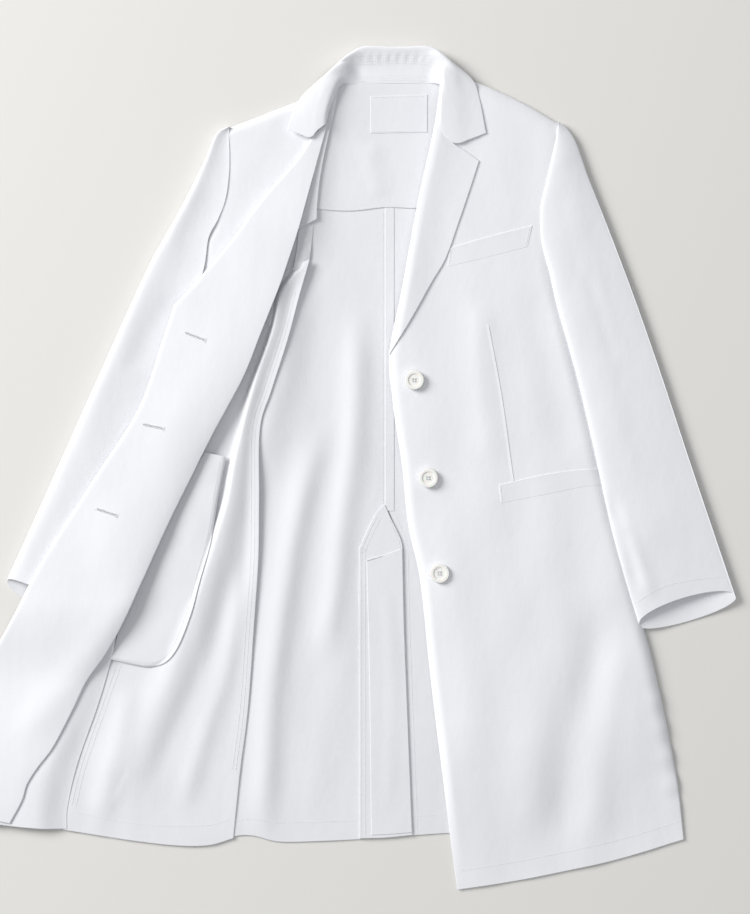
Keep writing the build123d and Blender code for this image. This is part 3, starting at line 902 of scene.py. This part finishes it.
def sleeve(side, half, bow, seed=0, folds=(), crest=0.5, swell=0.72, armhole=0.27):
    """Half of a flattened sleeve tube. bow is how far its cuff edge curves past the straight line, crest is
    where across it stands highest, from 0 inside to 1 outside, and armhole is the share of its length
    along which the armhole seam keeps the inner edge up."""
    name = f"{side}_{half}_sleeve"
    inner, outer = SLEEVE_LINES[side]
    down = shares(560, 3.2)
    turns = np.linspace(0, pi, 61)
    across = (1 - np.cos(turns)) / 2
    plan = band(smooth(inner), smooth(outer), across, down)
    run = (plan[-1, 0] + plan[-1, -1]) - (plan[-12, 0] + plan[-12, -1])
    run /= np.linalg.norm(run)
    reach = bow * np.sin(turns) ** 0.9
    near_cuff = ease((down - 0.72) / 0.28)
    plan = plan + (near_cuff[:, None, None] * reach[None, :, None]) * run[None, None]
    skewed = pi * across[None] ** (np.log(0.5) / np.log(crest))
    flank = np.clip(np.sin(skewed), 0, 1) ** swell
    if half == "under":
        height = np.full(plan.shape[:2], SLEEVE_MIDDLE) - UNDER_DROP * flank
    else:
        tall = TOP_RISE * np.interp(down, [0, 0.08, 0.3, 0.85, 1], [0.55, 0.95, 1, 1, 0.85])[:, None]
        head = ease((armhole - down) / 0.07)[:, None]
        seam_side = head * (1 - flank) * 0.5 * (1 - across[None])
        height = SLEEVE_MIDDLE + tall * (flank + seam_side)
        for points, rise, width in folds:
            height = height + ridge(plan, points, rise, width) * flank
        height = height + 0.3 * ripple(plan, 70, seed, stretch=(0.7, 1.8), turn=-0.35) * flank
    piece = cloth(f"{name}_cloth", plan, height, face_down=half == "under")
    return place(piece, f"{side}_sleeve", [name])


LEFT_SLEEVE_FOLDS = [
    ([(262, -500), (283, -540), (306, -600)], 1.4, 9),
    ([(252, -470), (275, -530), (290, -590)], -1.4, 8),
    ([(215, -90), (228, -180), (262, -330)], 0.8, 14),
    ([(228, -215), (244, -265), (264, -330)], -0.9, 9),
    ([(238, -300), (262, -380), (290, -470)], 0.5, 14),
]
RIGHT_SLEEVE_FOLDS = [
    ([(-232, -240), (-266, -290), (-292, -345)], -2, 14),
    ([(-215, -110), (-235, -180), (-252, -240)], 0.6, 14),
]


# ---- collar

COLLAR_RIBS = [
    [(-69, -53, 12.6), (-71, -54, 15), (-79, -60, 15.4),
     (-87, -68, 15), (-100, -64, 14.2), (-113, -59, 13.4)],
    [(-63, -30, 11), (-67, -32, 15.4), (-76, -34, 16.2),
     (-86, -37, 15.6), (-98, -40, 14.6), (-108, -42, 13.4)],
    [(-52, -8, 8), (-55, -4, 14.5), (-63, -2, 16.6), (-74, -6, 16.2), (-86, -13, 14.6), (-97, -21, 12.6)],
    [(-41, -6, 6), (-47, 8, 12.8), (-51, 14, 15.4), (-57, 14, 15.8), (-66, 7, 14), (-76, -1, 11)],
    [(-30, -6, 4.9), (-35, 12, 6.8), (-40.5, 25.5, 13.4), (-44, 27, 13), (-49, 23, 10), (-54, 17, 6.5)],
    [(-14, -5, 4.8), (-19, 14, 6.8), (-24, 33, 12.6), (-25, 36.5, 11.5), (-26, 34, 7), (-27, 27, 3)],
    [(8, -5, 4.8), (10, 16, 7.2), (11, 32.5, 12.4), (11, 36, 11.2), (11, 33, 6), (11, 25, 2.2)],
    [(32, -5, 4.8), (39, 14, 7.4), (46, 33, 12.8), (48, 36.5, 11.5), (49, 34, 7), (50, 27, 3)],
    [(49, -5, 4.9), (56, 13, 9), (61, 25, 15.4), (65, 27, 14.6), (71, 23, 10), (77, 17, 6.5)],
    [(62, -8, 8), (63, 2, 16.2), (66, 9, 17.4), (76, 8, 16.4), (88, 4, 13.4), (99, -2, 11)],
    [(62, -26, 11), (62.4, -24, 16.9), (65, -20, 17.8), (78, -20, 16.8), (94, -23, 14.2), (107, -26, 12.6)],
    [(57, -54, 13.6), (57.8, -57, 16.3), (65, -64, 16.9),
     (79, -75, 16.1), (96, -70, 14.4), (114, -63, 13.2)],
]


CRIMP_COUNT = 30


def collar_grid():
    """The folded collar: seam, stand, roll and fall at stations from one front end to the other."""
    across, along = shares(62, 1.5), shares(330, 2.0)
    lines = np.array([resample(smooth(rib), across) for rib in COLLAR_RIBS])
    columns = [resample(smooth(lines[:, k]), along) for k in range(lines.shape[1])]
    surface = np.stack(columns, axis=1)
    crimps = np.sin(2 * pi * along * CRIMP_COUNT)[:, None] * ease(1 - np.abs(along - 0.5) / 0.25)[:, None]
    surface[..., 2] += 0.28 * crimps * np.exp(-(((across - 0.5) / 0.09) ** 2))[None]
    return surface


def beneath(surface, depth, inset):
    """The same shape a little lower and a little smaller."""
    normal = normals_of(surface)
    if normal[..., 2].mean() < 0:
        normal = -normal
    return (surface - normal * depth)[inset:-inset, inset:-inset]


# ---- buttonholes

BUTTONHOLES = [((-219, -296), -21), ((-267, -399), -12), ((-320, -497), -18)]
BUTTONHOLE_LENGTH = 23
SLIT_WIDTH = 0.2
BAR_STEP = 0.62  # between the stitches along a slit
BAR_LENGTH = 1.5
TACK_HALF_LENGTH = 2.6
CUTTER_HEIGHTS = (-20, 60)  # from under all layers to above them


def hole_axes(angle):
    turn = radians(angle)
    return np.array([cos(turn), sin(turn)]), np.array([-sin(turn), cos(turn)])


def slit_cutter():
    """One slim block for each buttonhole, through all layers of the turned-back front."""
    vertices, faces = [], []
    for centre, angle in BUTTONHOLES:
        along, aside = hole_axes(angle)
        base = len(vertices)
        for z in CUTTER_HEIGHTS:
            for u, v in ((-1, -1), (1, -1), (1, 1), (-1, 1)):
                corner = np.array(centre) + u * along * BUTTONHOLE_LENGTH / 2 + v * aside * SLIT_WIDTH / 2
                vertices.append((*corner, z))
        for face in ((3, 2, 1, 0), (4, 5, 6, 7), (0, 1, 5, 4), (1, 2, 6, 5), (2, 3, 7, 6), (3, 0, 4, 7)):
            faces.append(tuple(base + k for k in face))
    return add_mesh("slit_cutter", vertices, faces)


def cut_slits(pieces):
    cutter = slit_cutter()
    for obj in pieces:
        modifier = obj.modifiers.new("slits", "BOOLEAN")
        modifier.object = cutter
        modifier.solver = "EXACT"
        bpy.context.view_layer.update()
        cut = bpy.data.meshes.new_from_object(obj.evaluated_get(bpy.context.evaluated_depsgraph_get()))
        obj.modifiers.remove(modifier)
        obj.data = cut
    bpy.data.objects.remove(cutter)


def buttonhole_stitches(tree):
    """A bar of close stitches along both sides of each slit, and a bar tack across its right end."""
    lines = []
    for centre, angle in BUTTONHOLES:
        along, aside = hole_axes(angle)
        for step in np.arange(-BUTTONHOLE_LENGTH / 2, BUTTONHOLE_LENGTH / 2 + 0.1, BAR_STEP):
            for side in (-1, 1):
                near = np.array(centre) + along * step + aside * side * SLIT_WIDTH / 2
                lines.append(dropped([near, near + aside * side * BAR_LENGTH], tree))
        end = np.array(centre) + along * (BUTTONHOLE_LENGTH / 2 + 0.8)
        for step in (0.0, 0.5, 1.0, 1.5):
            middle, reach = end + along * step, aside * TACK_HALF_LENGTH
            lines.append(dropped([middle - reach, middle + reach], tree))
    return [line for line in lines if len(line) == 2]


# ---- the coat put together

back_right_cloth = place(back_right(), ROOT, ["back_right_panel"])
back_left_cloth = place(back_left(), ROOT, ["back_left_panel"])
place(yoke_facing(), ROOT, ["back_yoke_facing"])
label_tape = place(neck_label(), ROOT, ["neck_label"])
underlap_cloth = place(vent_underlap(), "vent_underlap", ["vent_underlap"])
place(underlap_fold(), "vent_underlap", ())
place(centre_seam_flap(), ROOT, ())

side_right_cloth = place(side_right(), "right_front", ["right_side_panel"])
place(armhole_strip(), ROOT, ())
place(shoulder_right(), ROOT, ["right_front_shoulder_part"])
place(yoke_wrap(), ROOT, ())
front_right_cloth, facing_right_cloth = front_right(), facing_right()
interlining_right_cloth = layer_between(
    "interlining_right_cloth",
    [(x + 5, y - 2) for x, y in TURNED_EDGE[:-1] + TURNED_FRONT_EDGE[1:-1]] + [(-530, -806)],
    [(x - 5, y) for x, y in FACING_INNER[1:-1]] + [(-438, -848)],
    turned_height, -0.5, 0.3, INTERLINING,
)
facing_tree = tree_of(facing_right_cloth)
cut_slits([front_right_cloth, facing_right_cloth, interlining_right_cloth])
bars = stitches("buttonhole_stitches", buttonhole_stitches(facing_tree), gap=0.0, radius=0.26)
follow(bars, "right_front")
place(front_right_cloth, "right_front", ["right_front_panel"])
lapel_right_cloth = layer_between(  # rolled under the turned-back front, against its outside
    "lapel_right_cloth",
    [(-92, -80), (-104, -96), (-133, -129), (-158, -160), (-179, -189), (-216, -234), (-241, -262)],
    [(-93, -100), (-104, -140), (-122, -168), (-140, -190), (-165, -214), (-190, -236), (-236, -262)],
    turned_height, 1.4, 0.8, OUTSIDE,
)
place(lapel_right_cloth, "right_front", ["right_lapel"])
place(interlining_right_cloth, "right_front", ["right_front_interlining"])
pocket_welt_right_cloth = layer_between(
    "pocket_welt_right_cloth", [(-296, -430), (-269, -442), (-235, -459)],
    [(-304, -447), (-277, -460), (-244, -476)], turned_height, 1.4, 1.0, OUTSIDE,
)
place(pocket_welt_right_cloth, "right_front", ["right_pocket_welt"])
bag_right_cloth = place(
    pocket_bag_right(), "right_front", ["right_pocket_bag", "right_pocket_bag_cover"]
)
place(facing_right_cloth, "right_front", ["right_front_facing"])

front_left_cloth = place(
    front_left(), "left_front", ["left_front_panel", "left_front_side_part"]
)
FACING_INNER_LEFT = [(150, -915), (140, -781), (112, -578), (80, -340), (62, -75)]
INSET_EDGE = FRONT_EDGE[1:] + ROLL_LINE[1:-1]
HIDDEN_ON_THE_LEFT = [  # name, its two lines, depth, thickness, finish, CAD node, what it rests on, how held
    ("interlining_left_cloth", [(85, -925)] + [(x + 2, y) for x, y in INSET_EDGE], FACING_INNER_LEFT,
     1.1, 0.3, INTERLINING, "left_front_interlining", (), "laid"),
    ("facing_left_cloth", [(84, -928)] + [(x + 0.6, y) for x, y in INSET_EDGE], FACING_INNER_LEFT,
     1.6, 0.8, INSIDE, "left_front_facing", ["back_left_cloth"], "laid"),
    ("pocket_bag_left_cloth",
     [(126, -450), (140, -550), (154, -648)], [(242, -442), (246, -550), (236, -640)],
     4.6, 0.8, INSIDE, "left_pocket_bag", ["back_left_cloth"], "hung"),
    ("chest_bag_cloth", [(82, -200), (100, -250), (112, -292)], [(160, -180), (168, -230), (172, -288)],
     3.0, 0.8, INSIDE, "chest_pocket_bag", ["back_left_cloth"], "hung"),
]
for name, near, far, depth, thickness, finish, node_name, rests_on, held in HIDDEN_ON_THE_LEFT:
    layer = layer_between(name, near, far, left_height, depth, thickness, finish)
    place(layer, "left_front", [node_name])
place(lapel_left(), "left_front", ["left_lapel", "left_lapel_peak"])
chest_welt_cloth = raised(
    "chest_welt_cloth", [(72, -195), (120, -181), (167, -169)], [(70, -216), (116, -205), (162, -193)],
    0.6, 0.5, 0.7, ["chest_welt", "chest_welt_front_end"],
)
pocket_welt_cloth = raised(
    "pocket_welt_left_cloth", [(129, -466), (183, -454), (220, -449), (241, -448)],
    [(131, -487), (187, -476), (226, -468), (246, -466)],
    0.6, 0.5, 0.7, ["left_pocket_welt", "left_pocket_welt_side_end"],
)
raised(
    "front_dart_cloth", [(117, -283), (131.5, -360), (142.5, -437), (146, -461)],
    [(103, -284), (117, -361), (128, -438), (132, -462)], 0.5, 1.2, 0.6,
)

left_top = sleeve("left", "top", bow=-16, seed=41, folds=LEFT_SLEEVE_FOLDS, crest=0.2)
sleeve("left", "under", bow=12)
right_top = sleeve(
    "right", "top", bow=-8, seed=45, folds=RIGHT_SLEEVE_FOLDS, crest=0.88, swell=0.28, armhole=0.38
)
sleeve("right", "under", bow=14)

collar_surface = collar_grid()
upper_collar = cloth("upper_collar_cloth", collar_surface[..., :2], collar_surface[..., 2], thickness=0.8)
collar_cloth = place(upper_collar, ROOT, ["upper_collar", "collar_stand"])
for node_name, depth, inset, finish, thickness in (
    ("collar_interlining", 0.9, 3, INTERLINING, 0.3),
    ("under_collar", 1.3, 2, OUTSIDE, 0.7),
):
    inner = beneath(collar_surface, depth, inset)
    layer = cloth(f"{node_name}_cloth", inner[..., :2], inner[..., 2], finish, thickness)
    place(layer, ROOT, [node_name])

for number in range(1, BUTTON_COUNT + 1):
    for node_name, material in ((f"button_{number}", RESIN), (f"button_{number}_thread", THREAD)):
        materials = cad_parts[node_name].data.materials
        materials.clear()
        materials.append(material)


# ---- stitching

sew("centre_seam_stitches", back_right_cloth, [[(-4, -152), (-4, -488)]])
sew("vent_stitches", underlap_cloth, [beside(VENT_LEFT[:-1], -2.5), beside(VENT_LEFT[:-1], -7)])
sew("vent_edge_stitches", underlap_cloth, [beside(VENT_RIGHT[3:-1], 2.5)])
sew("back_left_vent_stitches", back_left_cloth, [beside(VENT_RIGHT[:-1], -6)])
sew("back_hem_stitches", back_right_cloth,
    [[(-178, -852), (-150, -850), (-124, -854), (-70, -853), (-33, -852)]])
sew("back_hem_stitches_left", back_left_cloth, [[(31, -847), (64, -845), (110, -842)]])
sew("underlap_stitches", underlap_cloth, [[(-20, -555), (16, -542)], [(-26, -850), (27, -846)]])
sew("label_stitches", label_tape, [[(-17, -21.5), (46, -19.5)], [(-17, -60.5), (46, -59.5)]], radius=0.16)
sew("side_hem_stitches", side_right_cloth,
    [[(-362, -840), (-314, -851), (-261, -858), (-205, -857), (-178, -850)]])
side_seam = smooth([(-313, -669), (-330, -718), (-354, -787), (-366, -836)])
sew("side_seam_stitches", side_right_cloth, [beside(side_seam, 4), beside(side_seam, 9)])
free_edge = smooth(SIDE_FREE_EDGE[1:-1])
sew("side_edge_stitches", side_right_cloth, [beside(free_edge, -5), beside(free_edge, -9)])
sew("pocket_bag_stitches", bag_right_cloth,
    [beside([(-300, -671), (-271, -675), (-252, -668), (-238, -649), (-224, -613), (-215, -579),
             (-201, -529), (-193, -480), (-186, -440)], 5)])
sew("front_hem_stitches", front_left_cloth,
    [[(86, -909), (148, -899), (213, -886), (270, -873), (336, -853)]])
sew("chest_welt_stitches", chest_welt_cloth, [[(74, -197), (72, -214)], [(164, -172), (160, -192)]])
sew("pocket_welt_stitches", pocket_welt_cloth, [[(131, -468), (133, -485)]])
sew("cuff_stitches_left", left_top, [[(284, -602), (317, -583), (352, -575), (391, -571)]])
sew("cuff_stitches_right", right_top, [[(-424, -556), (-404, -566), (-380, -577)]])
neck_lines = [
    np.array([(-34, y - 1), (6, y + 0.6), (52, y - 0.6)]) for y in (-2, 0.6, 3.2, 17, 20, 23, 26)
]
sew("collar_stand_stitches", collar_cloth, neck_lines, radius=0.16)


# ---- floor, light and camera

FLOOR_SIZE = 9.0
VIEW_MIDDLE = (-13, -434)
VIEW_LENGTH = 1.051  # metres of floor along the picture's longer side
CAMERA_HEIGHT = 2.9
SENSOR = 36


def area_light(name, place_at, size, power, colour):
    """A round lamp turned to the origin."""
    light = bpy.data.lights.new(name, "AREA")
    light.shape = "DISK"
    light.size = size
    light.energy = power
    light.color = colour
    obj = add_object(name, light)
    obj.location = place_at
    obj.rotation_euler = (-Vector(place_at)).to_track_quat("-Z", "Y").to_euler()


bpy.ops.mesh.primitive_plane_add(size=FLOOR_SIZE)
plane = bpy.context.object
plane.name = "floor"
floor_paper = principled("floor_paper", (0.80, 0.785, 0.755), 0.9, Specular_IOR_Level=0.2)[0]
plane.data.materials.append(floor_paper)

area_light("window_light", (-4.2, 2.3, 2.8), size=2.9, power=325, colour=(1.0, 0.995, 0.985))
area_light("ceiling_fill", (0.4, -0.2, 3.6), size=3.2, power=18, colour=(0.96, 0.98, 1.0))

world = bpy.data.worlds.new("soft_room")
world.use_nodes = True
set_sockets(world.node_tree.nodes["Background"], Color=(0.96, 0.98, 1.0, 1), Strength=0.34)
bpy.context.scene.world = world
bpy.context.scene.view_settings.view_transform = "Standard"

camera_data = bpy.data.cameras.new("camera")
camera_data.sensor_width = SENSOR
camera_data.lens = SENSOR * CAMERA_HEIGHT / VIEW_LENGTH
camera_object = add_object("camera", camera_data)
camera_object.location = to_row([*VIEW_MIDDLE, CAMERA_HEIGHT * 1000])
bpy.context.scene.camera = camera_object
